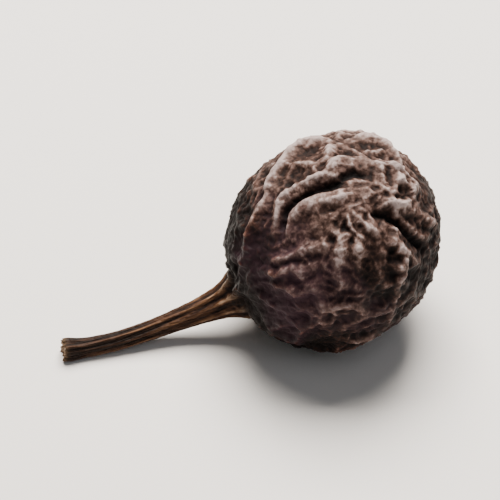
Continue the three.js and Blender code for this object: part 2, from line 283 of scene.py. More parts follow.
def bell(x, spread):
    """1 at x = 0, falling off to both sides as exp(-(x / spread)^2)."""
    return np.exp(-(x / spread) ** 2)


print("a quarter of the way:", smoothstep(0.25, 0, 1), between(0, 1, 0.25), round(float(bell(0.25, 1)), 3))

# %% [markdown]
# The smooth body comes first, before any wrinkle. Cut lengthwise, it is a circle for the berry, a flare
# that thins like a decaying curve into a slim stalk, and a slight swelling at the stalk's broken end. The
# cube root of the summed cubes joins circle and flare: where one is much wider it wins, and where they are
# alike the joint bulges softly, as the base of a real cubeb does. Distances q are measured from the berry's
# middle towards the stalk.

# %% The smooth body's radius
STALK_REACH = 7.9 * MM
STALK_RADIUS = 0.25 * MM
STALK_ROOT = 0.3 * MM
FLARE_RADIUS = 1.0 * MM
FLARE_START = 2.2 * MM
FLARE_LENGTH = 1.0 * MM
END_SWELLING = 0.2
END_SWELLING_PLACE = 0.16 * MM
END_SWELLING_SPREAD = 0.22 * MM


def body_radius(q):
    """Cube root of the cubes of the berry's circle and of the flared stalk with its swollen end."""
    berry = np.sqrt(np.maximum(BERRY_RADIUS ** 2 - q * q, 0))
    flare = np.exp(-np.maximum(q - FLARE_START, 0) / FLARE_LENGTH)
    swelling = 1 + END_SWELLING * bell(q - STALK_REACH + END_SWELLING_PLACE, END_SWELLING_SPREAD)
    stalk = between(STALK_RADIUS, FLARE_RADIUS, flare) * smoothstep(q, STALK_ROOT, FLARE_START) * swelling
    return np.cbrt(berry ** 3 + stalk ** 3)


stalk_middle = np.array((BERRY_RADIUS + STALK_REACH) / 2)
print("stalk's radius halfway along it, mm:", round(float(body_radius(stalk_middle)) / MM, 3))

# %% [markdown]
# The skin is one grid: rows run round the fruit, from the middle of the stalk's broken end to the scar at
# the far end of the berry. Rows at equal steps of angle would crowd at the scar and leave the berry's
# shoulder coarse, so they are spaced by the length of the profile instead, closer on the berry, where
# wrinkles are fine in both directions, than on the stalk, whose ribs only change slowly along it.

# %% Space the grid's rows along the profile
SEGMENTS = 372
ROWS = 266
PROFILE_STEPS = 6000
SHOULDER_ANGLE = math.radians(30)
SHOULDER = BERRY_RADIUS * math.cos(SHOULDER_ANGLE)
FACE_SHARE = 0.03
STALK_SHARE = 0.4
STALK_ROW_DENSITY = 0.5


def profile(t):
    """Distance q, radius and share of the end face's radius at t, over end face, stalk and berry in turn."""
    over_face = np.minimum(t / FACE_SHARE, 1)
    along_stalk = np.clip((t - FACE_SHARE) / (STALK_SHARE - FACE_SHARE), 0, 1)
    round_berry = between(SHOULDER_ANGLE, math.pi, np.clip((t - STALK_SHARE) / (1 - STALK_SHARE), 0, 1))
    on_berry = BERRY_RADIUS * np.cos(round_berry)
    q = np.where(t > STALK_SHARE, on_berry, between(STALK_REACH, SHOULDER, along_stalk))
    return q, body_radius(q) * over_face, over_face


def row_places():
    """Values of t at which the profile's length, counted more densely on the berry, grows by equal steps."""
    t = np.linspace(0, 1, PROFILE_STEPS)
    q, radius, _ = profile(t)
    density = between(1, STALK_ROW_DENSITY, smoothstep(q[1:], SHOULDER, FLARE_START + 2 * FLARE_LENGTH))
    length = np.concatenate([[0], np.cumsum(np.hypot(np.diff(q), np.diff(radius)) * density)])
    steps = (np.arange(ROWS) + 0.5) / ROWS * length[-1]
    return np.interp(steps, length, t)


row_t = row_places()[:, None]
print("rows that lie on the berry:", int((row_t > STALK_SHARE).sum()), "of", ROWS)

# %% [markdown]
# With the rows placed, the grid is laid out as whole arrays: the distance q, the radius, the angle phi
# round the fruit and the point itself, for every corner at once. The fruit's axis is the X axis here, with
# the stalk towards -X. The direction n from the berry's middle to each point is what all the wrinkles are
# worked out from.

# %% Lay out the grid
phi = np.linspace(0, 2 * math.pi, SEGMENTS, endpoint=False)[None, :]
q, radius, over_face = [np.broadcast_to(a, (ROWS, SEGMENTS)) for a in profile(row_t)]
sideways = np.stack(np.broadcast_arrays(0 * q, np.sin(phi), np.cos(phi)), -1)
body = sideways * radius[..., None]
body[..., 0] = -q
n = unit(body)
print("grid:", ROWS, "rows of", SEGMENTS)

# %% [markdown]
# A wrinkle's cross-section is the next thing. Dried skin hangs in hollow curves between its crests, as
# cloth does over a line, and the crests are narrow but never knife-sharp. So height rises as a power of the
# nearness to the crest, and the distance is softened first, which rounds the top by a few hundredths of a
# millimetre.

# %% A wrinkle's cross-section
CREST_ROUNDING = 0.025 * MM
CREST_POWER = 1.6
CREST_FULLNESS = 0.35


def crest(distance, half_width):
    """1 on the crest line, 0 from the half width outwards: t^1.6 (1 + 0.35 (1 - t)), with a rounded top."""
    softened = np.sqrt(distance ** 2 + CREST_ROUNDING ** 2) - CREST_ROUNDING
    t = np.clip(1 - softened / half_width, 0, 1)
    return t ** CREST_POWER * (1 + CREST_FULLNESS * (1 - t))


print("crest at 0, 0.1 and 0.2 mm:", crest(np.array([0, 0.1, 0.2]) * MM, 0.25 * MM).round(2))

# %% [markdown]
# The net of walls is what foam or cracked mud also shows: each wall runs midway between the middles of two
# cells. For a place on the berry, the nearest middle is its own cell's, and the wall towards any other cell
# is as far off as the difference of the two squared distances, divided by twice the distance between the
# two middles. The smallest of those is the distance to the net.

# %% Distance to a net of cell walls
CELL_COUNT = 130
CELL_SHAKE = 0.84
NET_SWAY = 0.1 * MM
NET_SWAY_LENGTH = 2.2 * MM
NEVER_ZERO = 1e-9


def wall_distance(n, cells):
    """Distance on the berry from directions n to the nearest wall between cells, whose middles are given."""
    squares = [((n - cell) ** 2).sum(-1) for cell in cells]
    own = np.argmin(squares, axis=0)
    own_square = np.min(squares, axis=0)
    own_middle = cells[own]
    nearest = np.full(own.shape, np.inf)
    for i, (cell, square) in enumerate(zip(cells, squares)):
        gap = np.linalg.norm(own_middle - cell, axis=-1)
        away = (square - own_square) / np.maximum(2 * gap, NEVER_ZERO)
        nearest = np.minimum(nearest, np.where(own == i, np.inf, away))
    return nearest * BERRY_RADIUS


net_place = sway(n, NET_SWAY, NET_SWAY_LENGTH, seeds=(47, 57, 67))
net_distance = wall_distance(net_place, scatter(CELL_COUNT, CELL_SHAKE))
print("the widest cell's middle is this far from its walls, mm:", round(net_distance.max() / MM, 2))

# %% [markdown]
# On the side that faces the camera the net gives way to bolder folds, like those of a walnut, with a deep
# groove that arches over the middle and another at the right. A random net wouldn't fall where they are, so
# each is a chain of listed points, given as how far right and up they lie from the berry's middle, in berry
# radii.

# %% Folds and grooves on the near side
FOLDS = [
    [(-0.88, -0.34), (-0.83, -0.1), (-0.76, 0.14), (-0.66, 0.42), (-0.58, 0.66), (-0.4, 0.83), (-0.16, 0.93)],
    [(-0.8, -0.5), (-0.68, -0.52), (-0.54, -0.6), (-0.36, -0.62)],
    [(-0.1, 0.76), (-0.02, 0.88), (0.24, 0.92), (0.46, 0.86), (0.58, 0.74)],
    [(-0.58, 0.1), (-0.54, 0.38), (-0.36, 0.54), (-0.14, 0.62), (0.02, 0.74), (0.22, 0.77), (0.38, 0.7),
     (0.42, 0.52)],
    [(-0.44, 0.14), (-0.36, 0.28), (-0.14, 0.38), (0.06, 0.46), (0.22, 0.5), (0.36, 0.4)],
    [(0.5, 0.74), (0.56, 0.56), (0.66, 0.48), (0.8, 0.46)],
    [(0.44, 0.34), (0.62, 0.3), (0.76, 0.24), (0.92, 0.12)],
    [(0.3, 0.1), (0.48, 0.02), (0.64, -0.08), (0.76, -0.24)],
    [(-0.7, -0.1), (-0.6, -0.17), (-0.44, -0.14), (-0.26, -0.05), (-0.1, -0.08)],
    [(-0.68, -0.28), (-0.56, -0.32), (-0.42, -0.23), (-0.28, -0.3), (-0.12, -0.24)],
    [(-0.6, -0.44), (-0.46, -0.4), (-0.32, -0.47), (-0.16, -0.42)],
    [(0.06, -0.04), (0.02, -0.22), (0.05, -0.4)],
    [(0.24, -0.02), (0.2, -0.2), (0.24, -0.44)],
    [(0.42, -0.04), (0.38, -0.24), (0.44, -0.46)],
    [(0.62, -0.12), (0.56, -0.3), (0.6, -0.48)],
]
GROOVES = [
    [(-0.56, 0.02), (-0.5, 0.26), (-0.26, 0.46), (-0.02, 0.55), (0.16, 0.63), (0.32, 0.6)],
    [(0.3, 0.26), (0.54, 0.17), (0.74, 0.04), (0.84, -0.1)],
]
print("folds:", len(FOLDS), "grooves:", len(GROOVES))

# %% [markdown]
# A point that is known by right and up is put onto the ball by working out how far it bulges towards the
# camera. The fruit is worked out untilted, with its stalk level, so the point is turned back by the tilt
# that the fruit gets at the end. The distance to a chain is the least of the distances to its straight
# stretches.

# %% Put places and chains onto the near side
STALK_TILT = math.radians(29.3)
PICTURE_RIGHT = np.array([math.cos(CAMERA_AZIMUTH), math.sin(CAMERA_AZIMUTH), 0])


def turn(points, angle):
    """Points turned about the Y axis: x' = x cos - z sin, z' = x sin + z cos."""
    x, y, z = points[..., 0], points[..., 1], points[..., 2]
    cos, sin = math.cos(angle), math.sin(angle)
    return np.stack([x * cos - z * sin, y, x * sin + z * cos], -1)


def near_side(chain):
    """Directions from the berry's middle to places given as right and up, on the camera's side of it."""
    towards = np.array(direction(CAMERA_AZIMUTH, CAMERA_ELEVATION))
    places = np.array(chain)
    depth = np.sqrt(1 - (places ** 2).sum(-1))
    axes = np.array([PICTURE_RIGHT, np.cross(towards, PICTURE_RIGHT), towards])
    return turn(np.column_stack([places, depth]) @ axes, -STALK_TILT)


def spot_distance(n, spot):
    """Distance on the berry from directions n to one direction."""
    return np.linalg.norm(n - spot, axis=-1) * BERRY_RADIUS


def line_distance(n, line):
    """Distance on the berry from directions n to a chain of straight stretches between directions."""
    nearest = np.full(n.shape[:-1], np.inf)
    for start, end in zip(line[:-1], line[1:]):
        stretch = end - start
        along = np.clip(((n - start) @ stretch) / (stretch @ stretch), 0, 1)
        foot = unit(start + along[..., None] * stretch)
        nearest = np.minimum(nearest, np.linalg.norm(n - foot, axis=-1))
    return nearest * BERRY_RADIUS


print("the side nearest the camera, untilted:", near_side([(0, 0)])[0].round(2))

# %% [markdown]
# A fold or a groove is the cross-section from before, laid along its chain, and it is lower at its two
# ends. The places are swayed first, so that no stretch between two points looks straight. Where two crests
# meet, the higher one shows.

# %% Crests of the folds and grooves
FOLD_HALF_WIDTH = 0.24 * MM
FOLD_SWAY = 0.055 * MM
FOLD_SWAY_LENGTH = 1.6 * MM
FOLD_END_LENGTH = 0.33 * MM
FOLD_END_SHARE = 0.35
GROOVE_HALF_WIDTH = 0.165 * MM


def crest_along(n, chains, half_width):
    """The highest of the crests along the chains, each sinking towards its two ends."""
    highest = np.zeros(n.shape[:-1])
    for chain in chains:
        line = near_side(chain)
        start, end = [spot_distance(n, tip) for tip in (line[0], line[-1])]
        full = smoothstep(start, 0, FOLD_END_LENGTH) * smoothstep(end, 0, FOLD_END_LENGTH)
        height = crest(line_distance(n, line), half_width) * between(FOLD_END_SHARE, 1, full)
        highest = np.maximum(highest, height)
    return highest


swayed = sway(n, FOLD_SWAY, FOLD_SWAY_LENGTH, seeds=(247, 257, 267))
fold = crest_along(swayed, FOLDS, FOLD_HALF_WIDTH)
groove = crest_along(swayed, GROOVES, GROOVE_HALF_WIDTH)
print("share of the skin on a fold:", round(float((fold > 0.5).mean()), 3))

# %% [markdown]
# Net, folds and grooves are put together into one height over the smooth body. The net sinks beside a fold,
# so that the folds stand alone, and two swells, one slow and one quick, make all of it uneven. All of this
# is also in the solid, in the same places, except that the grooves are a tenth of a millimetre wider there.

# %% Height of the wrinkles that the solid has
NET_HEIGHT = 0.2 * MM
NET_HALF_WIDTH = 0.25 * MM
NET_BESIDE_FOLDS = 0.45
FOLD_HEIGHT = 0.23 * MM
FOLD_CLEARING = 0.37 * MM
GROOVE_DEPTH = 0.15 * MM


def uneven(middle, amount, length, waves, seed, least, most):
    """A swell times an amount, added to a middle value and kept between the least and the most."""
    return np.clip(middle + amount * swell(wave_set(waves, seed), length, n), least, most)


slow = uneven(middle=0.95, amount=0.22, length=4.4 * MM, waves=6, seed=90, least=0.65, most=1.15)
rough = uneven(middle=0.9, amount=0.25, length=1.6 * MM, waves=8, seed=190, least=0.5, most=1.2)
wall = crest(net_distance, NET_HALF_WIDTH)
beside_fold = between(1, NET_BESIDE_FOLDS, crest_along(swayed, FOLDS, FOLD_CLEARING))
ridges = NET_HEIGHT * slow * wall * beside_fold + FOLD_HEIGHT * fold
bold = ridges * rough * (1 - groove) - GROOVE_DEPTH * groove
print("bold wrinkles from", round(bold.min() / MM, 2), "to", round(bold.max() / MM, 2), "mm")

# %% [markdown]
# What the solid leaves out comes next. Between the bold wrinkles lies a second net of finer ones, about 0.4
# mm apart, and winding lines cross it. A swell is zero along winding lines, and its value divided by its
# slope is about the distance to the nearest of them, so the same cross-section serves again.

# %% Finer wrinkles between the bold ones
FINE_COUNT = 520
FINE_SHAKE = 0.9
FINE_SWAY = 0.06 * MM
FINE_SWAY_LENGTH = 1.25 * MM
FINE_HALF_WIDTH = 0.16 * MM
FINE_NET_SHARE = 0.6
WINDING_WAVES = 18
WINDING_LENGTH = 1.15 * MM
fine_place = sway(n, FINE_SWAY, FINE_SWAY_LENGTH, seeds=(147, 157, 167))
fine_wall = crest(wall_distance(fine_place, scatter(FINE_COUNT, FINE_SHAKE)), FINE_HALF_WIDTH)
winding_swell = swell(wave_set(WINDING_WAVES, seed=620), WINDING_LENGTH, n)
winding = crest(np.abs(winding_swell) * WINDING_LENGTH / (2 * math.pi), FINE_HALF_WIDTH)
net_and_winding = np.maximum(winding, FINE_NET_SHARE * fine_wall)
print("share of the skin on a fine crest:", round(float((net_and_winding > 0.5).mean()), 2))

# %% [markdown]
# Three places on the near side have a look of their own. Between the two grooves the finer wrinkles stand
# up as a lace. At the upper left they almost fade, and the skin is smooth. Below the right groove they
# become upright pleats: a sine of the distance to the right gives evenly spaced lines.

# %% Lace, smooth skin and pleats
LACE_PLACE = (0.06, 0.24)
LACE_REACH = 1.1 * MM
LACE_EXTRA = 0.6
SMOOTH_PLACE = (-0.3, 0.72)
SMOOTH_REACH = 0.75 * MM
SMOOTH_LOSS = 0.7
PLEATS_PLACE = (0.4, -0.26)
PLEATS_REACH = 1.0 * MM
PLEATS_SHARE = 0.85
PLEAT_WIDTH = 0.3 * MM


def near(place, reach):
    """A bell round a place on the near side, 1 there and fading over its reach."""
    return bell(spot_distance(n, near_side([place])[0]), reach)


lace = 1 + LACE_EXTRA * near(LACE_PLACE, LACE_REACH) - SMOOTH_LOSS * near(SMOOTH_PLACE, SMOOTH_REACH)
rightwards = turn(swayed, STALK_TILT) @ PICTURE_RIGHT
from_pleat = np.abs(np.sin(math.pi * rightwards * BERRY_RADIUS / PLEAT_WIDTH)) * PLEAT_WIDTH / math.pi
pleats = crest(from_pleat, PLEAT_WIDTH / 2)
fine_crests = between(net_and_winding, pleats, PLEATS_SHARE * near(PLEATS_PLACE, PLEATS_REACH))
print("finer wrinkles are", round(lace.min(), 2), "to", round(lace.max(), 2), "times their height")

# %% [markdown]
# The finer wrinkles climb the flanks of the bold ones and fade before their crests. Finer still, the skin
# is puckered every few tenths of a millimetre. Both are real shape here and not a bump in the material,
# since at this size they catch the light and show in the outline.

# %% Height of the finer wrinkles
FINE_HEIGHT = 0.14 * MM
GROOVE_SMOOTHING = 0.7
PUCKER_WAVES = 14
PUCKERS = ((0.6 * MM, 0.045 * MM), (0.3 * MM, 0.028 * MM))


def puckers(length, tall):
    """Height that is full where a swell is zero and nothing where it is 1 or more, up or down."""
    return tall * (1 - np.abs(swell(wave_set(PUCKER_WAVES, seed=520), length, n)).clip(0, 1))


highest_bold = np.maximum(wall * beside_fold, fold)
room = (1 - highest_bold) * (1 - GROOVE_SMOOTHING * groove)
fine = FINE_HEIGHT * slow * rough * lace * fine_crests * room
pucker = sum(puckers(length, tall) for length, tall in PUCKERS)
print("finer wrinkles up to", round((fine + pucker).max() / MM, 3), "mm")

# %% [markdown]
# Ribs run the length of the stalk: they are the veins that fed the berry, left standing when the soft part
# between them dried. There are eight, unevenly spaced and twisting a little, and they are tallest where
# they spread onto the berry.

# %% Ribs of the stalk
RIB_COUNT = 8
RIB_HEIGHT = 0.05 * MM
RIB_TWIST = 0.1 / MM
RIB_CROWDING = 0.8
RIB_SHARPNESS = 1.5
RIB_UNEVENNESS = 0.25
RIB_MIDDLE = 0.3
NECK_RIB_HEIGHT = 0.13 * MM
NECK_RIB_SPREAD = 0.95 * MM
RIBS_START = 1.2 * MM
RIBS_FULL = 2.7 * MM


def ribs(q, phi):
    """A raised cosine round the stalk, to the power 1.5, taller at the neck and in four places round it."""
    twisted = phi + RIB_TWIST * (q - BERRY_RADIUS)
    wave = 0.5 + 0.5 * np.cos(RIB_COUNT * twisted + RIB_CROWDING * np.sin(2 * twisted + 1))
    tall = wave ** RIB_SHARPNESS * (1 - RIB_UNEVENNESS + RIB_UNEVENNESS * np.cos(4 * phi + 2))
    tallness = RIB_HEIGHT + NECK_RIB_HEIGHT * bell(q - BERRY_RADIUS, NECK_RIB_SPREAD)
    return tallness * smoothstep(q, RIBS_START, RIBS_FULL) * (tall - RIB_MIDDLE)


raised_ribs = ribs(q, phi)
print("ribs up to", round(raised_ribs.max() / MM, 3), "mm")

# %% [markdown]
# Finer fibres lie between the ribs. Each of three sets goes round the stalk a different number of times, so
# that together they never look even, and each wanders a little from side to side on its way along.

# %% Fibres between the ribs
FIBRE_HEIGHT = 0.012 * MM
FIBRE_COUNTS = (19, 26, 37)
FIBRE_WANDER = 0.35
WANDER_TURN = 1.1
WANDER_TURN_STEP = 0.5


def fibres(q, phi):
    """Cosines with many turns round the stalk, each wandering as a slow sine of the millimetres along it."""
    total = np.zeros(q.shape)
    for i, count in enumerate(FIBRE_COUNTS):
        wander = FIBRE_WANDER * np.sin(q / MM * (WANDER_TURN + WANDER_TURN_STEP * i) + 2 * i)
        total += np.cos(count * (phi + wander) + i)
    return FIBRE_HEIGHT * total / len(FIBRE_COUNTS) * smoothstep(q, RIBS_FULL, RIBS_FULL + FLARE_LENGTH)


raised_fibres = fibres(q, phi)
print("fibres up to", round(raised_fibres.max() / MM, 3), "mm")

# %% [markdown]
# The stalk snapped when the berry was stripped from its spike, so its end is a rough little face: hollow in
# the middle, where the pith shrank, and ragged at the rim, where fibres pulled out to different lengths.

# %% The broken end
END_HOLLOW = 0.07 * MM
END_RAGGED = 0.045 * MM
END_DEPTH = 0.3 * MM
RIM_WAVES = ((3, 1), (7, 4), (13, 0))


def broken_end(q, phi, over_face):
    """How far the end is moved out along the stalk: down in the middle, up and down by sines at the rim."""
    rim = sum(np.sin(turns * phi + start) for turns, start in RIM_WAVES)
    face = END_RAGGED * rim / 2 * over_face ** 2 - END_HOLLOW * (1 - over_face ** 2)
    return face * smoothstep(q, STALK_REACH - END_DEPTH, STALK_REACH)


end_shift = broken_end(q, phi, over_face)
print("the broken end is moved, mm:", round(end_shift.min() / MM, 3), "to", round(end_shift.max() / MM, 3))

# %% [markdown]
# Now all the heights are gathered. The wrinkles give way to the ribs at the neck. A low round button at the
# far end is the scar of the stigma, with calmer skin round it. Where the berry rests, its wrinkles are
# levelled so that it lies steady: none stands above one height there, and the hollows between them are
# shallower. In the solid that place is a smooth pad.

# %% Gather the heights
WRINKLES_THIN = 2.5 * MM
WRINKLES_END = 3.7 * MM
SCAR_HEIGHT = 0.16 * MM
SCAR_RADIUS = 0.28 * MM
SCAR_CLEARING = 0.45 * MM
SCAR_SMOOTHING = 0.8
REST_PAD_HEIGHT = 0.22 * MM
REST_PAD_HOLLOWS = 0.7
REST_PAD_ASIDE = 0.3 * MM
REST_PAD_RADIUS = 1.0 * MM
REST_FADE_RADIUS = 1.4 * MM
rest_pad = turn(unit(np.array([REST_PAD_ASIDE / BERRY_RADIUS, 0, -1.0])), -STALK_TILT)
off_rest_pad = smoothstep(spot_distance(n, rest_pad), REST_PAD_RADIUS, REST_FADE_RADIUS)
on_stalk = smoothstep(q, WRINKLES_THIN, WRINKLES_END)
from_scar = np.arccos(n[..., 0].clip(-1, 1)) * BERRY_RADIUS
beside_scar = 1 - SCAR_SMOOTHING * bell(from_scar, SCAR_CLEARING)
raised = bold + fine + pucker
pressed = between(REST_PAD_HEIGHT, np.minimum(raised, REST_PAD_HEIGHT), REST_PAD_HOLLOWS)
wrinkles = between(pressed, raised, off_rest_pad) * (1 - on_stalk) * beside_scar
height = wrinkles + SCAR_HEIGHT * bell(from_scar, SCAR_RADIUS) + (raised_ribs + raised_fibres) * over_face
print("height of the wrinkles, mm:", round(wrinkles.min() / MM, 2), "to", round(wrinkles.max() / MM, 2))

# %% [markdown]
# Then the surface itself. Wrinkles are raised straight out from the berry's middle and ribs straight out
# from the stalk's axis, with a smooth change from one to the other at the neck. The berry is dented very
# slightly by a slow swell, because no dried fruit is a true ball, and flattened a little.

# %% Raise the wrinkles and ribs
BERRY_HEIGHT_SHARE = 0.965
DENT_SHARE = 0.013
DENT_WAVES = 5
DENT_LENGTH = 7 * MM
dents = 1 + DENT_SHARE * swell(wave_set(DENT_WAVES, seed=400), DENT_LENGTH, n) * (1 - on_stalk)
outwards = unit(between(n, sideways, on_stalk[..., None]))
points = body * dents[..., None] + outwards * height[..., None]
points[..., 0] -= end_shift
points[..., 2] *= between(BERRY_HEIGHT_SHARE, 1, on_stalk)
print("dents between", round(dents.min(), 3), "and", round(dents.max(), 3), "of the radius")

# %% [markdown]
# The stalk leaves the berry steeply and then curls up to lie along the floor. Its middle line rises with
# the square of the distance from the berry, and wavers a little to the side. Each cross-section is turned
# square to the curve, so that the stalk keeps its thickness. The whole fruit is then tilted to lie as the
# solid does, and its lowest places are pressed flat.

# %% Bend the stalk and set the fruit down
STALK_RISE = 1.56 * MM
STALK_SWAY = 0.12 * MM
STALK_WAVER = 0.1 * MM
STALK_WAVER_TURN = 6
REST_SINK = 0.17 * MM


def bend(points, q):
    """Points moved from the straight axis to the curve, with each cross-section square to its slope."""
    length = STALK_REACH - BERRY_RADIUS
    run = np.maximum(q - BERRY_RADIUS, 0) / length
    waver = STALK_WAVER_TURN * run
    aside = STALK_WAVER * run * np.sin(waver) - STALK_SWAY * run ** 2
    aside_slope = (STALK_WAVER * (np.sin(waver) + waver * np.cos(waver)) - 2 * STALK_SWAY * run) / length
    rise_slope = 2 * STALK_RISE * run / length
    zero, one = np.zeros(q.shape), np.ones(q.shape)
    along = unit(np.stack([one, -aside_slope, -rise_slope], -1))
    across = unit(np.stack([aside_slope, one, zero], -1))
    upwards = unit(np.stack([rise_slope, zero, one], -1))
    on_curve = np.stack([-q, aside, STALK_RISE * run ** 2], -1) + along * (points[..., 0] + q)[..., None]
    return on_curve + across * points[..., 1, None] + upwards * points[..., 2, None]


points = turn(bend(points, q), STALK_TILT)
points[..., 2] = np.maximum(points[..., 2] - points[..., 2].min() - REST_SINK, 0)
lowest, highest = points.min((0, 1)), points.max((0, 1))
print("fruit, mm:", (lowest / MM).round(2), "to", (highest / MM).round(2))

# %% [markdown]
# Blender needs corners and faces. Four neighbours in the grid make a face, and the last segment joins the
# first again. At each end of the fruit one more corner closes the grid with a fan of triangles, so the skin
# has no hole or seam. Corners are listed so that each face looks outwards.

# %% Make the mesh
def closed_skin(name, points):
    """A grid of points closed round and at both ends, as a smooth-shaded mesh object at the origin."""
    rows, segments = points.shape[:2]
    i = np.arange(rows - 1)[:, None] * segments
    j = np.arange(segments)[None, :]
    k = (j + 1) % segments
    quads = np.stack([i + j, i + segments + j, i + segments + k, i + k], -1).reshape(-1, 4)
    first, last = rows * segments, rows * segments + 1
    start_fan = np.stack(np.broadcast_arrays(first, j[0], k[0]), -1)
    end_fan = np.stack(np.broadcast_arrays(last, last - 1 - segments + k[0], last - 1 - segments + j[0]), -1)
    corners = np.vstack([points.reshape(-1, 3), points[0].mean(0), points[-1].mean(0)])
    mesh = bpy.data.meshes.new(name)
    mesh.from_pydata(corners.tolist(), [], quads.tolist() + start_fan.tolist() + end_fan.tolist())
    mesh.shade_smooth()
    item = bpy.data.objects.new(name, mesh)
    bpy.context.scene.collection.objects.link(item)
    print(name, "has", 2 * len(quads) + len(start_fan) + len(end_fan), "triangles")
    return item


cubeb = closed_skin("cubeb_skin", points)

# %% [markdown]
# Colour on a dried fruit follows its wrinkles closely: dark juice dried in the hollows, and what stands
# proud was rubbed pale. Here the hollows are also darkened as painted shade, and the crests lightened as a
# painted highlight. So each place needs to know how far it stands above or below its own surroundings.
# A blurred copy of the height gives the level of the surroundings. Round the fruit, each ring of heights is
# taken apart into waves and the short waves are damped, and along it, each row becomes a mean weighted by
# distance along the profile. A wide blur finds what stands proud, and a narrow one finds the sharp edges.

# %% How far each place stands proud
PROUD_REACH = 0.2 * MM
EDGE_REACH = 0.06 * MM
row_length = np.concatenate([[0], np.cumsum(np.hypot(np.diff(q[:, 0]), np.diff(radius[:, 0])))])


def blurred(values, spread):
    """Wave k of a ring times exp(-(k spread / radius)^2 / 2), and rows averaged under a bell as wide."""
    waves_round = np.arange(SEGMENTS // 2 + 1)
    damping = np.exp(-(waves_round * spread / radius[:, :1]) ** 2 / 2)
    rings = np.fft.irfft(np.fft.rfft(values, axis=1) * damping, SEGMENTS, axis=1)
    weights = np.exp(-((row_length[:, None] - row_length) / spread) ** 2 / 2)
    return weights @ rings / weights.sum(1, keepdims=True)


proud = height - blurred(height, PROUD_REACH)
edge = height - blurred(height, EDGE_REACH)
for name, values in (("proud", proud), ("edge", edge)):
    print(name + ", mm:", (np.percentile(values, (5, 50, 95)) / MM).round(4))

# %% [markdown]
# Numbers that the finish needs are kept on the mesh's corners, where a material can read them. The first
# say how high, how proud and how sharp a place is. The height is kept as it was before the pressing, so
# that the net's colours cross the place where the berry rests.

# %% Keep how each place stands
PROUD_SCALE = 0.08 * MM
EDGE_SCALE = 0.015 * MM


def keep(item, name, values):
    """Stores a number or a vector for each corner of the grid, with the mean of its ring at each end."""
    flat = values.reshape(values.shape[0] * values.shape[1], -1)
    ends = [values[i].reshape(SEGMENTS, -1).mean(0) for i in (0, -1)]
    every = np.vstack([flat, *ends])
    kind, field = ("FLOAT", "value") if every.shape[1] == 1 else ("FLOAT_VECTOR", "vector")
    attribute = item.data.attributes.new(name, kind, "POINT")
    attribute.data.foreach_set(field, every.astype(np.float32).ravel())


unpressed = raised * (1 - on_stalk) * beside_scar
keep(cubeb, "height", (unpressed + GROOVE_DEPTH) / (NET_HEIGHT + GROOVE_DEPTH))
keep(cubeb, "proud", proud / PROUD_SCALE)
keep(cubeb, "edge", edge / EDGE_SCALE)
print("corners with numbers:", len(cubeb.data.vertices))

# %% [markdown]
# The finish also needs to know where a place lies: how far it faces up, for painted light that makes the
# upper side paler, how near it is to the stalk, for painted shade and a warm tint there, how far along the
# stalk it is, whether it is on the broken end, and how near it is to a flush low on the left, where the juice
# dried purple. The place on the unbent stalk is kept as well, for fibres that follow it.

# %% Keep where each place lies
PAINTED_TOP_LIGHT_FROM, PAINTED_TOP_LIGHT_FULL = 0.25, 0.8
NECK_SHADE_FROM, NECK_SHADE_FULL = 0.5 * MM, 2.1 * MM
FLUSH_PLACE = (-0.31, -0.52)
FLUSH_FULL, FLUSH_REACH = 0.3 * MM, 2.5 * MM
BROKEN_FULL, BROKEN_END = 0.8 * FACE_SHARE, 1.3 * FACE_SHARE
from_flush = spot_distance(n, near_side([FLUSH_PLACE])[0])
# Painted light: places that face up are made paler, as if lit from above.
keep(cubeb, "painted_top_light", smoothstep(turn(n, STALK_TILT)[..., 2], PAINTED_TOP_LIGHT_FROM, PAINTED_TOP_LIGHT_FULL))
keep(cubeb, "stalk", on_stalk)
keep(cubeb, "towards_end", np.maximum(q - BERRY_RADIUS, 0) / (STALK_REACH - BERRY_RADIUS))
# Painted shade: the side towards the stalk is made darker, and the same numbers warm its colour.
keep(cubeb, "stalkward_shade_and_warm_tint", smoothstep(q, NECK_SHADE_FROM, NECK_SHADE_FULL))
keep(cubeb, "flush", 1 - smoothstep(from_flush, FLUSH_FULL, FLUSH_REACH))
keep(cubeb, "broken", 1 - smoothstep(row_t + 0 * q, BROKEN_FULL, BROKEN_END))
keep(cubeb, "unbent", body / MM)
print("sets of numbers on the mesh:", len(cubeb.data.attributes))

# %% [markdown]
# Dried fruit skin is a tough brown film of dead cells under a thin coat of plant wax. It isn't shiny, and
# it isn't quite matt either: light glances off the wax in a broad dull sheen. The hollows keep the near-
# black of the dried flesh, deepened by painted shade. The crests are rubbed and dusty from sieves and sacks,
# so they are a paler, greyer tan, made paler still by a painted highlight, and the upper side is paler as
# painted light from above. The stalk, which was never fleshy, is a woody brown. Wax and dead plant tissue
# have an index of refraction of about 1.45, and the specular level is low because the dust breaks the film
# up.
#
# Four patterns with real sizes in millimetres are shared by what follows. The skin's cells and dust are too
# fine to show in a picture of the whole fruit, so the pebbles and the grain are drawn several times as
# coarse as they are.

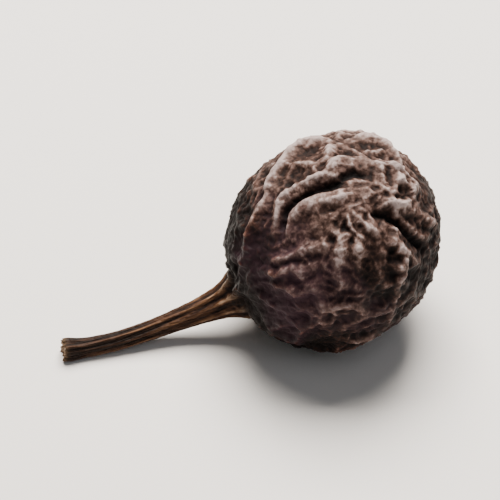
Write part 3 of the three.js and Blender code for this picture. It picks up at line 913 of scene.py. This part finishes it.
# %% Dried fruit skin
PATCH_SIZE = 2.6
MOTTLE_SIZE = 0.45
PEBBLE_SIZE = 0.17
GRAIN_SIZE = 0.085
KEPT_NUMBERS = ("height", "proud", "edge", "painted_top_light", "stalkward_shade_and_warm_tint", "flush", "stalk", "towards_end",
                "broken")
skin, shader = new_material("sun_dried_fruit_skin", IOR=1.45, Specular_IOR_Level=0.14)
cubeb.data.materials.append(skin)
place = add(skin, "ShaderNodeTexCoord").outputs["Object"]
in_mm = add(skin, "ShaderNodeVectorMath", {0: place, "Scale": 1 / MM}, operation="SCALE").outputs["Vector"]
read = {name: add(skin, "ShaderNodeAttribute", attribute_name=name).outputs["Fac"] for name in KEPT_NUMBERS}
patch, mottle, grain = [
    add(skin, "ShaderNodeTexNoise", {"Vector": in_mm, "Scale": 1 / size, "Detail": 3.0}).outputs["Fac"]
    for size in (PATCH_SIZE, MOTTLE_SIZE, GRAIN_SIZE)
]
pebbles = add(skin, "ShaderNodeTexVoronoi", {"Vector": in_mm, "Scale": 1 / PEBBLE_SIZE}).outputs["Distance"]
print("patterns, mm:", PATCH_SIZE, MOTTLE_SIZE, PEBBLE_SIZE, GRAIN_SIZE)

# %% [markdown]
# The berry's colour follows one tone, a sum of many small parts, because a ramp read on height alone would
# draw contour lines. High, proud and sharp places are paler, partly as rubbed skin and partly as a painted
# highlight, and the low hollows darker, partly as painted shade. The upper side is paler as painted light
# from above, and the flush is a little paler. The side towards the stalk is darker, as painted shade. The
# gaps between pebbles are darker too. Mottle and grain break all of it up. The ramp runs from the black of
# the hollows over dark brown to the rubbed crests.

# %% Tone and brown of the berry
TONE_START = -0.078
# Height, proud and edge: rubbed skin plus painted shade in the hollows and a painted highlight on the crests.
# The upper side's part is painted light, and the part towards the stalk is painted shade.
TONE_SHARES = (
    (read["height"], 0.22),
    (read["proud"], 0.12),
    (read["edge"], 0.06),
    (mottle, 0.32),
    (grain, 0.46),
    (read["painted_top_light"], 0.235),
    (read["stalkward_shade_and_warm_tint"], -0.29),
    (read["flush"], 0.145),
    (pebbles, -0.2),
)
tone = TONE_START
for part, share in TONE_SHARES:
    summand = {0: part, 1: share, 2: tone}
    tone = add(skin, "ShaderNodeMath", summand, operation="MULTIPLY_ADD").outputs[0]
brown = add(skin, "ShaderNodeValToRGB", {"Fac": tone}, stops=[
    (0.22, linear("#0c0706")),
    (0.97, linear("#9c8b87")),
    (0.41, linear("#1c110e")),
    (0.57, linear("#36251f")),
    (0.74, linear("#604b44")),
    (0.88, linear("#84726d")),
]).outputs["Color"]
print("parts of the tone:", len(TONE_SHARES))

# %% [markdown]
# Two tints lie over the brown. Towards the stalk it is multiplied by a warm one, which keeps all its light
# and dark, as where skin turns to wood. In the flush, purple is mixed in, more in some patches than in
# others. A Mix node for colours has its factor at input 0, its two colours at 6 and 7, and its result at
# output 2.

# %% Warm and purple tints
FLUSH_SHARE = 0.3
PURPLE_FROM, PURPLE_FULL = 0.56, 0.76
PURPLE_MOST = 0.46
FACTOR, FIRST, SECOND, RESULT = 0, 6, 7, 2
flush_in_patches = add(skin, "ShaderNodeMath", {0: read["flush"], 1: FLUSH_SHARE, 2: patch},
                       operation="MULTIPLY_ADD").outputs[0]
purple_part = add(skin, "ShaderNodeMapRange", {
    "Value": flush_in_patches, "From Min": PURPLE_FROM, "From Max": PURPLE_FULL,
    "To Min": 0.0, "To Max": PURPLE_MOST,
}).outputs["Result"]
warming = {FACTOR: read["stalkward_shade_and_warm_tint"], FIRST: brown, SECOND: linear("#ecb48c")}
warmed = add(skin, "ShaderNodeMix", warming, data_type="RGBA", blend_type="MULTIPLY").outputs[RESULT]
flushing = {FACTOR: purple_part, FIRST: warmed, SECOND: linear("#422c36")}
berry_colour = add(skin, "ShaderNodeMix", flushing, data_type="RGBA").outputs[RESULT]
print("nodes so far:", len(skin.node_tree.nodes))

# %% [markdown]
# The stalk is lighter on its ribs than between them, darker towards its end, partly as painted shade, and
# streaked along its length.
# The streaks are a noise that is read at the place on the unbent stalk and squeezed along it, so they
# follow the stalk's bend. The broken end shows paler fibres and pith.

# %% Colour of the stalk
STREAK_WIDTH = 0.06
STREAK_LENGTH = 1.2
# Towards its end the stalk is made darker, partly its own colour and partly painted shade.
RIB_SHARES = ((read["proud"], 0.45), (read["towards_end"], -0.3))
unbent = add(skin, "ShaderNodeAttribute", attribute_name="unbent").outputs["Vector"]
squeeze = (1 / STREAK_LENGTH, 1 / STREAK_WIDTH, 1 / STREAK_WIDTH)
along = add(skin, "ShaderNodeVectorMath", {0: unbent, 1: squeeze}, operation="MULTIPLY").outputs["Vector"]
streak = add(skin, "ShaderNodeTexNoise", {"Vector": along, "Scale": 1.0, "Detail": 2.0}).outputs["Fac"]
rib_tone = streak
for part, share in RIB_SHARES:
    summand = {0: part, 1: share, 2: rib_tone}
    rib_tone = add(skin, "ShaderNodeMath", summand, operation="MULTIPLY_ADD").outputs[0]
stalk_colour = add(skin, "ShaderNodeValToRGB", {"Fac": rib_tone}, stops=[
    (0.2, linear("#170d08")),
    (0.95, linear("#a88a70")),
    (0.42, linear("#3a2417")),
    (0.65, linear("#62452f")),
]).outputs["Color"]
with_stalk = {FACTOR: read["stalk"], FIRST: berry_colour, SECOND: stalk_colour}
skin_colour = add(skin, "ShaderNodeMix", with_stalk, data_type="RGBA").outputs[RESULT]
fibre_to_pith = {FACTOR: grain, FIRST: linear("#4c3626"), SECOND: linear("#9a8064")}
end_colour = add(skin, "ShaderNodeMix", fibre_to_pith, data_type="RGBA").outputs[RESULT]
with_end = {FACTOR: read["broken"], FIRST: skin_colour, SECOND: end_colour}
colour = add(skin, "ShaderNodeMix", with_end, data_type="RGBA").outputs[RESULT]
skin.node_tree.links.new(colour, shader.inputs["Base Color"])
print("streaks, mm:", STREAK_WIDTH, "wide and", STREAK_LENGTH, "long")

# %% [markdown]
# Rubbed crests are smoother than the hollows, so the gloss gathers on them, and the grain makes it uneven.
# Under the wax the skin is made of cells, which show as a fine leathery pebbling. It is too fine for the
# mesh, so a bump bends the light instead. A pebble's pattern grows from its middle outwards, so that bump
# is turned over and each pebble becomes a dome. Like their sizes, both heights are several times the real
# ones, since real pebbles of some thousandths of a millimetre wouldn't show.

# %% Gloss and fine relief
PEBBLE_HEIGHT = 0.035 * MM
GRAIN_HEIGHT = 0.016 * MM
GLOSS_FROM, GLOSS_FULL = -0.5, 1.0
HOLLOW_ROUGHNESS, CREST_ROUGHNESS = 0.7, 0.38
GRAIN_ROUGHNESS = 0.12
smooth_crests = add(skin, "ShaderNodeMapRange", {
    "Value": read["proud"], "From Min": GLOSS_FROM, "From Max": GLOSS_FULL,
    "To Min": HOLLOW_ROUGHNESS, "To Max": CREST_ROUGHNESS,
}).outputs["Result"]
roughness = add(skin, "ShaderNodeMath", {0: grain, 1: GRAIN_ROUGHNESS, 2: smooth_crests},
                operation="MULTIPLY_ADD").outputs[0]
skin.node_tree.links.new(roughness, shader.inputs["Roughness"])
grain_bump = add(skin, "ShaderNodeBump", {"Height": grain, "Distance": GRAIN_HEIGHT}).outputs["Normal"]
domes = {"Height": pebbles, "Distance": PEBBLE_HEIGHT, "Normal": grain_bump}
relief = add(skin, "ShaderNodeBump", domes, invert=True).outputs["Normal"]
skin.node_tree.links.new(relief, shader.inputs["Normal"])
print("nodes in the skin:", len(skin.node_tree.nodes))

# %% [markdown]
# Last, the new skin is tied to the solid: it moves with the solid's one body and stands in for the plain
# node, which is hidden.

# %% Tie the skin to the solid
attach(cubeb, "root")
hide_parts("cubeb_pepper")
